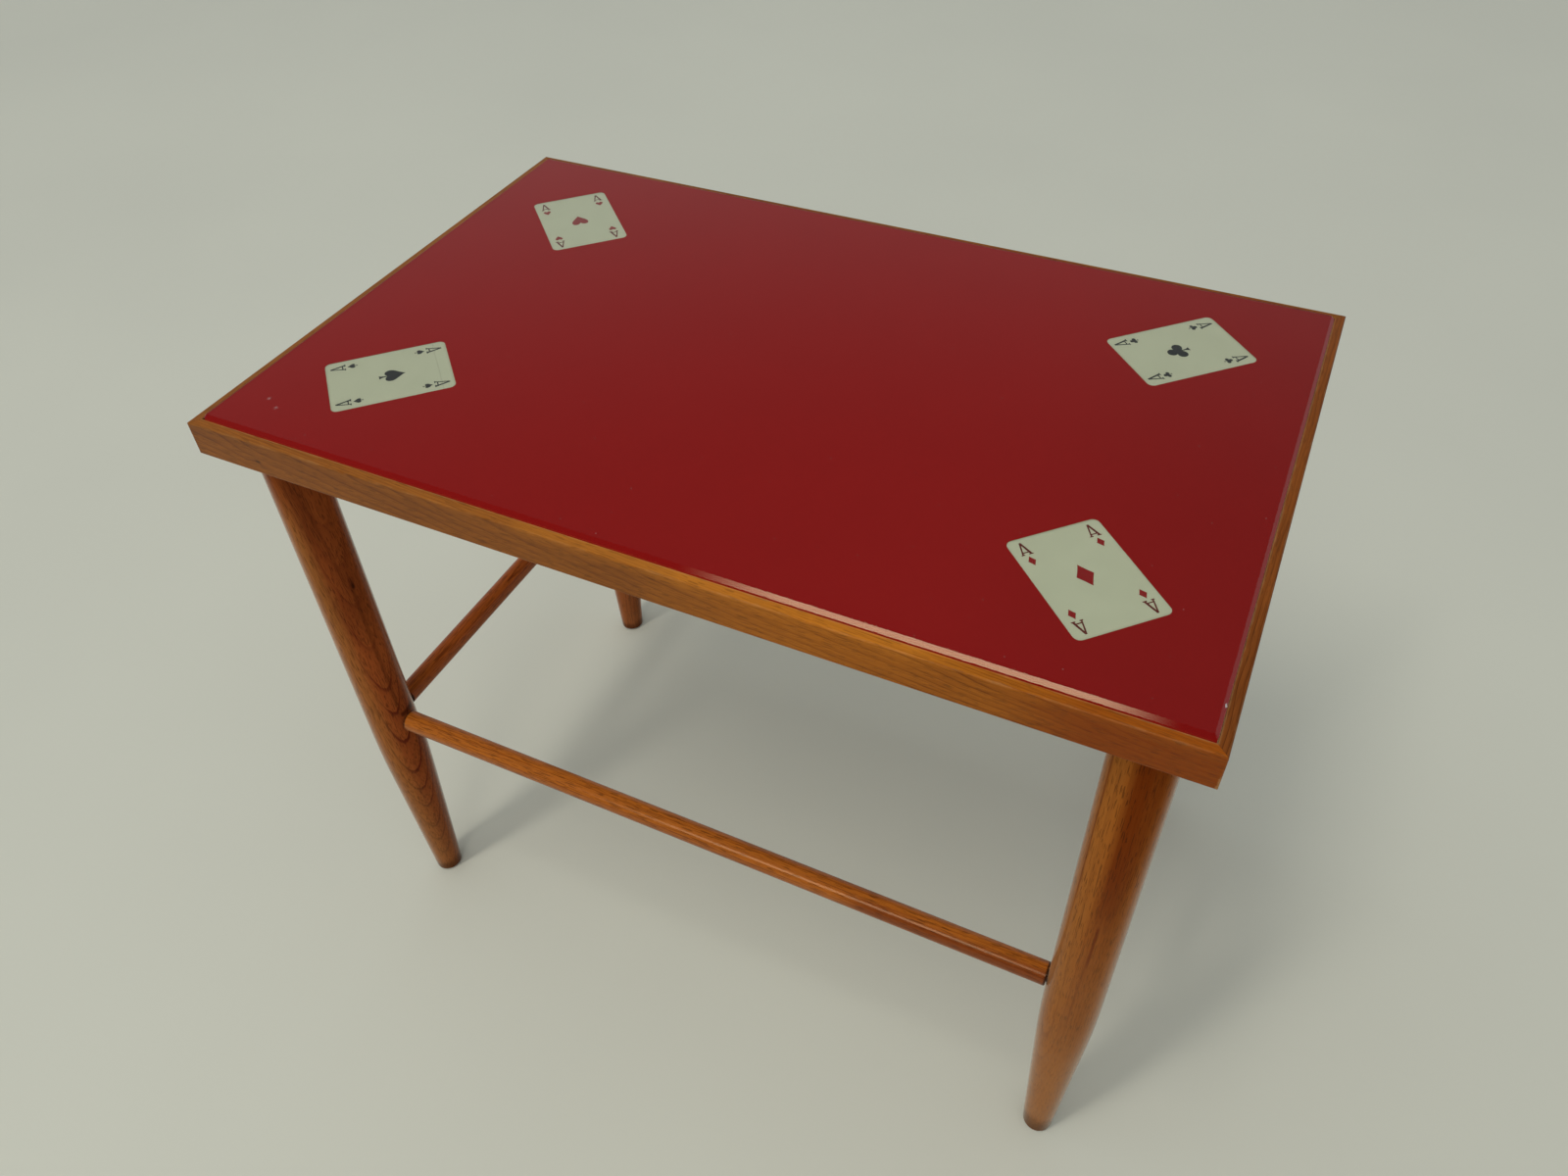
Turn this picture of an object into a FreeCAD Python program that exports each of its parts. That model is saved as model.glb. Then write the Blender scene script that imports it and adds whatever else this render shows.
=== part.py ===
import FreeCAD, Part
import Sketcher

import math
import os
import sys

# Low four-legged card table: a mitred timber frame holds a loose glass pane over a red sheet
# with a window for each of four ace cards. Turned legs stand in two cross battens under the
# panel, and four round stretchers tie the legs together.
#
# Frame of the part: millimetres, +Z up, +X along the long side to the right, +Y to the back,
# origin on the floor at the centre of the table.

doc = FreeCAD.newDocument("card_table")
sizes = doc.addObject("Spreadsheet::Sheet", "Sizes")

DRIVING_SIZES = {
    # timber frame round the top
    "top_length": 710,
    "top_width": 450,
    "rail_top_height": 576.5,
    "rail_height": 27.5,
    "rail_width": 20,
    "lip_width": 7,
    "rail_edge_radius": 1.2,
    # loose tongues across the mitres
    "spline_length": 15,
    "spline_width": 11,
    "spline_thickness": 3,
    "spline_gap": 0.1,
    # what lies in the rebate
    "panel_thickness": 9,
    "panel_gap": 0.15,
    "backing_thickness": 0.5,
    "backing_gap": 0.6,
    "glass_thickness": 5,
    "glass_proud": 3.5,
    "glass_gap": 0.4,
    "glass_bevel": 2.4,
    "glass_corner_radius": 3.5,
    "glass_arris": 0.4,
    # the four aces and their windows
    "card_length": 88,
    "card_width": 63,
    "card_thickness": 0.3,
    "card_corner_radius": 4,
    "window_gap": 0.8,
    "spades_inset_length": 97,
    "spades_inset_width": 101,
    "spades_turn": 45,
    "hearts_inset_length": 99,
    "hearts_inset_width": 97,
    "hearts_turn": -45,
    "clubs_inset_length": 101.4,
    "clubs_inset_width": 95.4,
    "clubs_turn": 44,
    "diamonds_inset_length": 100.3,
    "diamonds_inset_width": 99,
    "diamonds_turn": -45,
    # turned legs
    "leg_radius": 21.5,
    "foot_radius": 12.5,
    "foot_chamfer": 2.2,
    "taper_height": 191,
    "taper_blend_radius": 1240,
    "leg_inset_length": 39.6,
    "leg_inset_width": 37.8,
    "leg_tenon_radius": 12,
    "leg_tenon_length": 15,
    "leg_tenon_gap": 0.05,
    # round stretchers
    "stretcher_radius": 9.15,
    "stretcher_height": 239,
    "stretcher_chamfer": 0.7,
    "stretcher_tenon_radius": 6,
    "stretcher_tenon_length": 14.8,
    "stretcher_tenon_gap": 0.05,
    "stretcher_end_gap": 0.3,
    "shoulder_gap": 0.15,
    # cross battens
    "batten_width": 70,
    "batten_end_gap": 0.3,
    "batten_chamfer": 2,
}
ACROSS_MITRE = 135      # degrees, from the front rail's length to straight across its left mitre
SAME_PLACE = 1e-4       # mm, within which an edge lies where it is looked for
LEAST_CUT = 1e-3        # mm3, below which a pocket has missed its solid

for row, (alias, value) in enumerate(DRIVING_SIZES.items(), start=1):
    sizes.set("A%d" % row, alias)
    sizes.set("B%d" % row, str(value))
    sizes.setAlias("B%d" % row, alias)
doc.recompute()

# Worked-out sizes, as expressions on the sheet
FRAME_BOTTOM = "(Sizes.rail_top_height - Sizes.rail_height)"
REBATE_DEPTH = ("(Sizes.glass_thickness - Sizes.glass_proud"
                " + Sizes.backing_thickness + Sizes.panel_thickness)")
LEDGE_HEIGHT = "(Sizes.rail_height - %s)" % REBATE_DEPTH
PANEL_BOTTOM = "(Sizes.rail_top_height - %s)" % REBATE_DEPTH
PANEL_TOP = "(%s + Sizes.panel_thickness)" % PANEL_BOTTOM
LEG_X = "(Sizes.top_length / 2 - Sizes.leg_inset_length)"
LEG_Y = "(Sizes.top_width / 2 - Sizes.leg_inset_width)"
BATTEN_X = "(Sizes.top_length / 2 - Sizes.rail_width - Sizes.batten_width / 2)"

CORNERS = {
    "front_left": (-1, -1, 0),
    "front_right": (1, -1, 90),
    "back_right": (1, 1, 180),
    "back_left": (-1, 1, 270),
}

# Each ace by the corner that it lies in
ACES = {
    "spades": (-1, -1),
    "hearts": (-1, 1),
    "clubs": (1, 1),
    "diamonds": (1, -1),
}


def new_body(label):
    body = doc.addObject("PartDesign::Body", label)
    body.Label = label
    return body


def origin_feature(body, role):
    return next(item for item in body.Origin.OriginFeatures if item.Role == role)


def new_sketch(body, name, plane, offset=None):
    sketch = body.newObject("Sketcher::SketchObject", name)
    sketch.AttachmentSupport = [(origin_feature(body, plane), "")]
    sketch.MapMode = "FlatFace"
    if offset is not None:
        sketch.setExpression(".AttachmentOffset.Base.z", offset)
    return sketch


def bind(sketch, index, name, expression):
    sketch.renameConstraint(index, name)
    sketch.setExpression("Constraints." + name, expression)


def pin(sketch, geometry, point, tag, place):
    """Tie one point of a sketch to the two expressions that give its place."""
    for kind, axis, letter, expression in (
        ("DistanceX", -2, "x", place[0]),
        ("DistanceY", -1, "y", place[1]),
    ):
        if expression == "0":
            sketch.addConstraint(Sketcher.Constraint("PointOnObject", geometry, point, axis))
            continue
        value = float(sketch.evalExpression(expression))
        index = sketch.addConstraint(
            Sketcher.Constraint(kind, -1, 1, geometry, point, value))
        bind(sketch, index, letter + tag, expression)


def at(sketch, place):
    return FreeCAD.Vector(*[float(sketch.evalExpression(value)) for value in place], 0)


def outline(sketch, corners, tag=""):
    """Closed outline of straight lines through corners given as pairs of expressions."""
    first = sketch.GeometryCount
    count = len(corners)
    for index, corner in enumerate(corners):
        following = corners[(index + 1) % count]
        sketch.addGeometry(Part.LineSegment(at(sketch, corner), at(sketch, following)), False)
    for index in range(count):
        following = first + (index + 1) % count
        sketch.addConstraint(Sketcher.Constraint("Coincident", first + index, 2, following, 1))
    for index, corner in enumerate(corners):
        pin(sketch, first + index, 1, "%s%d" % (tag, index), corner)


def box_outline(sketch, half_length, half_width):
    outline(sketch, [
        ("-(%s)" % half_length, "-(%s)" % half_width),
        (half_length, "-(%s)" % half_width),
        (half_length, half_width),
        ("-(%s)" % half_length, half_width),
    ])


def circle(sketch, centre, radius, tag=""):
    value = float(sketch.evalExpression(radius))
    index = sketch.addGeometry(
        Part.Circle(at(sketch, centre), FreeCAD.Vector(0, 0, 1), value), False)
    pin(sketch, index, 3, "%scentre" % tag, centre)
    bind(sketch, sketch.addConstraint(Sketcher.Constraint("Radius", index, value)),
         "%sradius" % tag, radius)


def pad(body, sketch, name, height):
    feature = body.newObject("PartDesign::Pad", name)
    feature.Profile = sketch
    feature.setExpression("Length", height)
    doc.recompute()
    return feature


def pocket(body, sketch, name, depth=None, reverse=False, both=False):
    """Cut that goes through everything unless a depth is given; it has to remove material."""
    before = body.Shape.Volume
    feature = body.newObject("PartDesign::Pocket", name)
    feature.Profile = sketch
    feature.Reversed = reverse
    feature.Midplane = both
    if depth is None:
        feature.Type = "ThroughAll"
    else:
        feature.setExpression("Length", depth)
    doc.recompute()
    if body.Shape.Volume > before - LEAST_CUT:
        raise ValueError(name + " cuts nothing")
    return feature


def revolve(body, sketch, name, axis):
    feature = body.newObject("PartDesign::Revolution", name)
    feature.Profile = sketch
    feature.ReferenceAxis = (origin_feature(body, axis), [""])
    feature.Angle = 360
    doc.recompute()
    return feature


def dress(body, kind, name, size, wanted):
    """Fillet or chamfer of the edges of the body that wanted() picks by their place."""
    base = body.Tip
    names = ["Edge%d" % index for index, edge in enumerate(base.Shape.Edges, start=1)
             if wanted(edge)]
    if not names:
        raise ValueError(name + " finds no edge")
    feature = body.newObject("PartDesign::" + kind, name)
    feature.Base = (base, names)
    feature.setExpression("Radius" if kind == "Fillet" else "Size", size)
    doc.recompute()
    return feature


def place(body, x="0", y="0", z="0", turn="0"):
    for axis, expression in (("x", x), ("y", y), ("z", z)):
        body.setExpression(".Placement.Base." + axis, expression)
    body.Placement.Rotation = FreeCAD.Rotation(FreeCAD.Vector(0, 0, 1), 0)
    body.setExpression(".Placement.Rotation.Angle", turn)


def size(alias):
    return float(sizes.get(alias))


def level(edge, height):
    box = edge.BoundBox
    return abs(box.ZMin - height) < SAME_PLACE and abs(box.ZMax - height) < SAME_PLACE


def upright(edge):
    box = edge.BoundBox
    return box.ZLength > SAME_PLACE and box.XLength < SAME_PLACE and box.YLength < SAME_PLACE


# The timber frame

def make_rail(label, length, x, y, turn):
    """Rail with its outer face on y = 0: mitred ends, a rebate on its inner side for panel and
    glass, a slot across each mitre for a loose tongue, and eased outer edges."""
    body = new_body(label)
    half = "%s / 2" % length

    plan = new_sketch(body, label + "_plan", "XY_Plane")
    outline(plan, [
        ("-%s" % half, "0"),
        (half, "0"),
        ("%s - Sizes.rail_width" % half, "Sizes.rail_width"),
        ("-%s + Sizes.rail_width" % half, "Sizes.rail_width"),
    ])
    pad(body, plan, label + "_blank", "Sizes.rail_height")

    section = new_sketch(body, label + "_rebate_section", "YZ_Plane")
    outline(section, [
        ("Sizes.lip_width", LEDGE_HEIGHT),
        ("Sizes.rail_width * 2", LEDGE_HEIGHT),
        ("Sizes.rail_width * 2", "Sizes.rail_height * 2"),
        ("Sizes.lip_width", "Sizes.rail_height * 2"),
    ])
    pocket(body, section, label + "_rebate", both=True)

    slot_bottom = "(%s - Sizes.spline_thickness) / 2 - Sizes.spline_gap" % LEDGE_HEIGHT
    slot_plan = new_sketch(body, label + "_slot_plan", "XY_Plane", slot_bottom)
    middle = ("%s - Sizes.rail_width / 2" % half, "Sizes.rail_width / 2")
    across = "(Sizes.spline_length / 2 + Sizes.spline_gap) * sqrt(0.5)"
    along = "(Sizes.spline_width / 2 + Sizes.spline_gap) * sqrt(0.5)"
    outline(slot_plan, [
        ("%s + %s %s %s" % (middle[0], along, side, across),
         "%s - %s %s %s" % (middle[1], along, side, across))
        if end > 0 else
        ("%s - %s %s %s" % (middle[0], along, side, across),
         "%s + %s %s %s" % (middle[1], along, side, across))
        for end, side in ((1, "-"), (1, "+"), (-1, "+"), (-1, "-"))
    ])
    slot = pocket(body, slot_plan, label + "_slot",
                  depth="Sizes.spline_thickness + 2 * Sizes.spline_gap", reverse=True)
    both_slots = body.newObject("PartDesign::Mirrored", label + "_slots")
    both_slots.Originals = [slot]
    both_slots.MirrorPlane = (origin_feature(body, "YZ_Plane"), [""])
    body.Tip = both_slots
    doc.recompute()

    def outer_edge(edge):
        box = edge.BoundBox
        return box.YMax < SAME_PLACE and box.XLength > size("rail_width")

    dress(body, "Fillet", label + "_eased_edges", "Sizes.rail_edge_radius", outer_edge)
    place(body, x, y, FRAME_BOTTOM, turn)


make_rail("front_rail", "Sizes.top_length", "0", "-Sizes.top_width / 2", "0")
make_rail("right_rail", "Sizes.top_width", "Sizes.top_length / 2", "0", "90")
make_rail("back_rail", "Sizes.top_length", "0", "Sizes.top_width / 2", "180")
make_rail("left_rail", "Sizes.top_width", "-Sizes.top_length / 2", "0", "270")


def make_spline(corner, side_x, side_y, turn):
    """Loose tongue glued in the slots of two rails, centred on the mitre."""
    body = new_body("mitre_spline_" + corner)
    plan = new_sketch(body, body.Name + "_plan", "XY_Plane")
    box_outline(plan, "Sizes.spline_length / 2", "Sizes.spline_width / 2")
    pad(body, plan, body.Name + "_blank", "Sizes.spline_thickness")
    place(body,
          "%d * (Sizes.top_length / 2 - Sizes.rail_width / 2)" % side_x,
          "%d * (Sizes.top_width / 2 - Sizes.rail_width / 2)" % side_y,
          "%s + (%s - Sizes.spline_thickness) / 2" % (FRAME_BOTTOM, LEDGE_HEIGHT),
          "%d" % (turn + ACROSS_MITRE))


for corner, (side_x, side_y, turn) in CORNERS.items():
    make_spline(corner, side_x, side_y, turn)


# What lies in the frame: the panel, the red sheet, the cards and the glass

def lay_in_rebate(label, gap, bottom, thickness):
    """Flat sheet that fills the rebate, less a gap all round."""
    body = new_body(label)
    plan = new_sketch(body, label + "_plan", "XY_Plane")
    box_outline(plan,
                "Sizes.top_length / 2 - Sizes.lip_width - %s" % gap,
                "Sizes.top_width / 2 - Sizes.lip_width - %s" % gap)
    pad(body, plan, label + "_blank", thickness)
    place(body, z=bottom)
    return body


def ace_place(suit):
    """Centre of a card, as two expressions in the frame of the part."""
    side_x, side_y = ACES[suit]
    return ("%d * (Sizes.top_length / 2 - Sizes.%s_inset_length)" % (side_x, suit),
            "%d * (Sizes.top_width / 2 - Sizes.%s_inset_width)" % (side_y, suit))


def window_outline(sketch, suit):
    """Outline of the window round a card, turned with it."""
    x, y = ace_place(suit)
    turn = "Sizes.%s_turn * 1deg" % suit
    long_half = "(Sizes.card_length / 2 + Sizes.window_gap)"
    short_half = "(Sizes.card_width / 2 + Sizes.window_gap)"
    outline(sketch, [
        ("%s + %d * %s * cos(%s) - %d * %s * sin(%s)"
         % (x, along, long_half, turn, across, short_half, turn),
         "%s + %d * %s * sin(%s) + %d * %s * cos(%s)"
         % (y, along, long_half, turn, across, short_half, turn))
        for along, across in ((1, -1), (1, 1), (-1, 1), (-1, -1))
    ], suit)


def make_red_backing():
    """Thin red sheet under the glass, with a rounded window round each card."""
    body = lay_in_rebate("red_backing", "Sizes.backing_gap", PANEL_TOP,
                         "Sizes.backing_thickness")
    windows = new_sketch(body, "window_plan", "XY_Plane")
    for suit in ACES:
        window_outline(windows, suit)
    pocket(body, windows, "windows", reverse=True)
    half_length = size("top_length") / 2 - size("lip_width") - size("backing_gap")

    def window_corner(edge):
        return upright(edge) and abs(edge.BoundBox.XMax) < half_length - SAME_PLACE

    dress(body, "Fillet", "window_corners", "Sizes.card_corner_radius + Sizes.window_gap",
          window_corner)


def make_card(suit):
    """Playing card of poker size, turned so that its long side points at the table's corner."""
    body = new_body("ace_of_" + suit)
    plan = new_sketch(body, body.Name + "_plan", "XY_Plane")
    box_outline(plan, "Sizes.card_length / 2", "Sizes.card_width / 2")
    pad(body, plan, body.Name + "_blank", "Sizes.card_thickness")
    dress(body, "Fillet", body.Name + "_corners", "Sizes.card_corner_radius", upright)
    x, y = ace_place(suit)
    place(body, x, y, PANEL_TOP, "Sizes.%s_turn" % suit)


def make_glass():
    """Pane that stands proud of the frame, with rounded corners and a polished bevel."""
    body = lay_in_rebate("glass_top", "Sizes.glass_gap",
                         "%s + Sizes.backing_thickness" % PANEL_TOP, "Sizes.glass_thickness")
    dress(body, "Fillet", "glass_corners", "Sizes.glass_corner_radius", upright)
    thickness = size("glass_thickness")
    dress(body, "Chamfer", "glass_bevel_cut", "Sizes.glass_bevel",
          lambda edge: level(edge, thickness))
    dress(body, "Chamfer", "glass_lower_arris", "Sizes.glass_arris",
          lambda edge: level(edge, 0))


lay_in_rebate("base_panel", "Sizes.panel_gap", PANEL_BOTTOM, "Sizes.panel_thickness")
make_red_backing()
for suit in ACES:
    make_card(suit)
make_glass()


# The battens under the panel

def make_batten(label, side):
    """Cross batten glued under the panel against an end rail, bored for the tenons of two
    legs, with its inner lower edge chamfered."""
    body = new_body(label)
    plan = new_sketch(body, label + "_plan", "XY_Plane")
    box_outline(plan, "Sizes.batten_width / 2",
                "Sizes.top_width / 2 - Sizes.rail_width - Sizes.batten_end_gap")
    pad(body, plan, label + "_blank", LEDGE_HEIGHT)

    bores = new_sketch(body, label + "_bore_places", "XY_Plane")
    for tag, side_y in (("front_", -1), ("back_", 1)):
        circle(bores, ("%d * (%s - %s)" % (side, LEG_X, BATTEN_X), "%d * %s" % (side_y, LEG_Y)),
               "Sizes.leg_tenon_radius + Sizes.leg_tenon_gap", tag)
    pocket(body, bores, label + "_bores", reverse=True)

    inner = size("batten_width") / 2

    def inner_edge(edge):
        box = edge.BoundBox
        lengthwise = box.XLength < SAME_PLACE and abs(box.XMax + side * inner) < SAME_PLACE
        return lengthwise and level(edge, 0)

    dress(body, "Chamfer", label + "_eased_edge", "Sizes.batten_chamfer", inner_edge)
    place(body, "%d * %s" % (side, BATTEN_X), "0", FRAME_BOTTOM)


make_batten("left_batten", -1)
make_batten("right_batten", 1)


# The legs and the stretchers

def make_leg(corner, side_x, side_y, turn):
    """Turned leg: a tenon for the batten, a straight upper part, and a long taper to a small
    chamfered foot. Two mortises at a right angle take the stretchers."""
    body = new_body(corner + "_leg")
    label = body.Name
    profile = new_sketch(body, label + "_profile", "XZ_Plane")
    top = "%s + Sizes.leg_tenon_length" % FRAME_BOTTOM
    radius = "Sizes.leg_radius"
    upper = [("0", "0"), ("0", top), ("Sizes.leg_tenon_radius", top),
             ("Sizes.leg_tenon_radius", FRAME_BOTTOM), (radius, FRAME_BOTTOM)]
    for start, end in zip(upper, upper[1:]):
        profile.addGeometry(Part.LineSegment(at(profile, start), at(profile, end)), False)
    foot_place = ("Sizes.foot_radius", "Sizes.foot_chamfer")
    sole_place = ("Sizes.foot_radius - Sizes.foot_chamfer", "0")
    foot = at(profile, foot_place)
    sole_rim = at(profile, sole_place)
    knee = at(profile, (radius, "Sizes.taper_height"))
    slope = math.atan2(knee.x - foot.x, knee.y - foot.y)
    blend_radius = size("taper_blend_radius")
    tangent = blend_radius * math.tan(slope / 2)
    straight_end = knee + FreeCAD.Vector(0, tangent, 0)
    taper_start = knee + FreeCAD.Vector(-math.sin(slope), -math.cos(slope), 0) * tangent
    straight = profile.addGeometry(
        Part.LineSegment(at(profile, upper[-1]), straight_end), False)
    blend_circle = Part.Circle(straight_end - FreeCAD.Vector(blend_radius, 0, 0),
                               FreeCAD.Vector(0, 0, 1), blend_radius)
    blend_arc = profile.addGeometry(Part.ArcOfCircle(blend_circle, -slope, 0), False)
    taper = profile.addGeometry(Part.LineSegment(taper_start, foot), False)
    chamfer = profile.addGeometry(Part.LineSegment(foot, sole_rim), False)
    sole = profile.addGeometry(Part.LineSegment(sole_rim, FreeCAD.Vector(0, 0, 0)), False)
    corner_point = profile.addGeometry(Part.Point(knee), True)
    for line in range(straight):
        profile.addConstraint(Sketcher.Constraint("Coincident", line, 2, line + 1, 1))
    profile.addConstraint(Sketcher.Constraint("Coincident", taper, 2, chamfer, 1))
    profile.addConstraint(Sketcher.Constraint("Coincident", chamfer, 2, sole, 1))
    profile.addConstraint(Sketcher.Constraint("Coincident", sole, 2, 0, 1))
    profile.addConstraint(Sketcher.Constraint("Tangent", straight, 2, blend_arc, 2))
    profile.addConstraint(Sketcher.Constraint("Tangent", blend_arc, 1, taper, 1))
    profile.addConstraint(Sketcher.Constraint("Vertical", straight))
    profile.addConstraint(Sketcher.Constraint("PointOnObject", corner_point, 1, straight))
    profile.addConstraint(Sketcher.Constraint("PointOnObject", corner_point, 1, taper))
    for line, corner_place in enumerate(upper):
        pin(profile, line, 1, "upper%d" % line, corner_place)
    pin(profile, chamfer, 1, "foot", foot_place)
    pin(profile, sole, 1, "sole", sole_place)
    index = profile.addConstraint(Sketcher.Constraint(
        "DistanceY", -1, 1, corner_point, 1, size("taper_height")))
    bind(profile, index, "taper_height", "Sizes.taper_height")
    index = profile.addConstraint(Sketcher.Constraint("Radius", blend_arc, blend_radius))
    bind(profile, index, "blend_radius", "Sizes.taper_blend_radius")
    revolve(body, profile, label + "_turned", "Z_Axis")

    mortise_place = new_sketch(
        body, label + "_mortise_place", "YZ_Plane",
        "Sizes.leg_radius + Sizes.shoulder_gap - Sizes.stretcher_tenon_length"
        " - Sizes.stretcher_end_gap")
    circle(mortise_place, ("0", "Sizes.stretcher_height"),
           "Sizes.stretcher_tenon_radius + Sizes.stretcher_tenon_gap")
    mortise = pocket(body, mortise_place, label + "_mortise", reverse=True)
    mortises = body.newObject("PartDesign::PolarPattern", label + "_mortises")
    mortises.Originals = [mortise]
    mortises.Axis = (origin_feature(body, "Z_Axis"), [""])
    mortises.Angle = 90
    mortises.Occurrences = 2
    body.Tip = mortises
    doc.recompute()
    place(body, "%d * %s" % (side_x, LEG_X), "%d * %s" % (side_y, LEG_Y), "0", "%d" % turn)


for corner, (side_x, side_y, turn) in CORNERS.items():
    make_leg(corner, side_x, side_y, turn)


def make_stretcher(label, leg_offset, x, y, turn):
    """Round stretcher between two legs: flat chamfered shoulders and a tenon at each end."""
    body = new_body(label)
    profile = new_sketch(body, label + "_profile", "XZ_Plane")
    shoulder = "(%s - Sizes.leg_radius - Sizes.shoulder_gap)" % leg_offset
    tip = "(%s + Sizes.stretcher_tenon_length)" % shoulder
    outline(profile, [
        ("-%s" % tip, "0"),
        ("-%s" % tip, "Sizes.stretcher_tenon_radius"),
        ("-%s" % shoulder, "Sizes.stretcher_tenon_radius"),
        ("-%s" % shoulder, "Sizes.stretcher_radius"),
        (shoulder, "Sizes.stretcher_radius"),
        (shoulder, "Sizes.stretcher_tenon_radius"),
        (tip, "Sizes.stretcher_tenon_radius"),
        (tip, "0"),
    ])
    revolve(body, profile, label + "_turned", "X_Axis")
    radius = size("stretcher_radius")

    def shoulder_rim(edge):
        box = edge.BoundBox
        return box.XLength < SAME_PLACE and abs(box.ZMax - radius) < SAME_PLACE

    dress(body, "Chamfer", label + "_eased_shoulders", "Sizes.stretcher_chamfer", shoulder_rim)
    place(body, x, y, "Sizes.stretcher_height", turn)


make_stretcher("front_stretcher", LEG_X, "0", "-" + LEG_Y, "0")
make_stretcher("back_stretcher", LEG_X, "0", LEG_Y, "180")
make_stretcher("right_stretcher", LEG_Y, LEG_X, "0", "90")
make_stretcher("left_stretcher", LEG_Y, "-" + LEG_X, "0", "270")


# Every sub-part has to have computed before any is written

doc.recompute()
for item in doc.Objects:
    if "Invalid" in item.State or "Error" in item.State:
        sys.exit("%s did not compute: %s" % (item.Label, item.State))

sub_parts = [item for item in doc.Objects if item.TypeId == "PartDesign::Body"]
for item in sub_parts:
    if item.Shape.isNull() or not item.Shape.isValid():
        sys.exit("%s has no valid shape" % item.Label)

os.makedirs("parts", exist_ok=True)
for item in sub_parts:
    item.Shape.exportStep("parts/%s.step" % item.Label)
    print("%-28s %d solid, %.0f mm3" % (item.Label, len(item.Shape.Solids), item.Shape.Volume))
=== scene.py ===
import bpy
import math
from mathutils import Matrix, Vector


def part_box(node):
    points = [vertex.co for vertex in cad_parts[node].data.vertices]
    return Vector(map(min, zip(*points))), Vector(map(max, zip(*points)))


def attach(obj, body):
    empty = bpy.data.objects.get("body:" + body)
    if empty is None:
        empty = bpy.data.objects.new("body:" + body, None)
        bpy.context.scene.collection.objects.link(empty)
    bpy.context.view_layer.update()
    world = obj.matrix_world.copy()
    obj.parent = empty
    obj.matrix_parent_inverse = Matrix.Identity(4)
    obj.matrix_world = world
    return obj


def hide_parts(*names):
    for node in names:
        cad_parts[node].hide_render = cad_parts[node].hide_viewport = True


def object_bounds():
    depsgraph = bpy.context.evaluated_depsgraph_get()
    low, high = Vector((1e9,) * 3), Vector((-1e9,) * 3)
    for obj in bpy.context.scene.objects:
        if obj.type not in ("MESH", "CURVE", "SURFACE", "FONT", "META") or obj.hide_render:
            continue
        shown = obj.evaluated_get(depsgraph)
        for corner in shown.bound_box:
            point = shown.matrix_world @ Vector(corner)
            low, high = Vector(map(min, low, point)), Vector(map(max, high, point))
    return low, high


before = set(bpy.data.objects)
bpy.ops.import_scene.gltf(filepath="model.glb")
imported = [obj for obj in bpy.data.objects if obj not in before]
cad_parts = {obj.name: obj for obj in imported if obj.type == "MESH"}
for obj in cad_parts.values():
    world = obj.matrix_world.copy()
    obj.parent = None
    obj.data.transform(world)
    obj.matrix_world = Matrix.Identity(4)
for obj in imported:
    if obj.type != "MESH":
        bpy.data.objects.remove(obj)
cadLow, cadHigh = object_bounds()
scene = bpy.context.scene
scene.view_settings.view_transform = "Standard"
bpy.ops.object.select_all(action="DESELECT")
mm = 0.001
leftEnd, frontFace = cadLow.x, cadLow.y
rightEnd, backFace = cadHigh.x, cadHigh.y
print("frame loaded:", len(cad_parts), "nodes")


# Shader building: Wire is a socket that takes part in sums, and Shades makes the nodes.
class Wire:
    def __init__(self, tree, socket):
        self.tree = tree
        self.socket = socket

    def maths(self, operation, first, second):
        node = self.tree.nodes.new("ShaderNodeMath")
        node.operation = operation
        for slot, value in zip(node.inputs, (first, second)):
            if isinstance(value, Wire):
                self.tree.links.new(value.socket, slot)
            else:
                slot.default_value = value
        return Wire(self.tree, node.outputs[0])

    def __add__(self, other):
        return self.maths("ADD", self, other)

    def __radd__(self, other):
        return self.maths("ADD", other, self)

    def __sub__(self, other):
        return self.maths("SUBTRACT", self, other)

    def __rsub__(self, other):
        return self.maths("SUBTRACT", other, self)

    def __mul__(self, other):
        return self.maths("MULTIPLY", self, other)

    def __rmul__(self, other):
        return self.maths("MULTIPLY", other, self)

    def __truediv__(self, other):
        return self.maths("DIVIDE", self, other)

    def __rtruediv__(self, other):
        return self.maths("DIVIDE", other, self)

    def __pow__(self, other):
        return self.maths("POWER", self, other)

    def __abs__(self):
        return self.maths("ABSOLUTE", self, 0.0)


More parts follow.
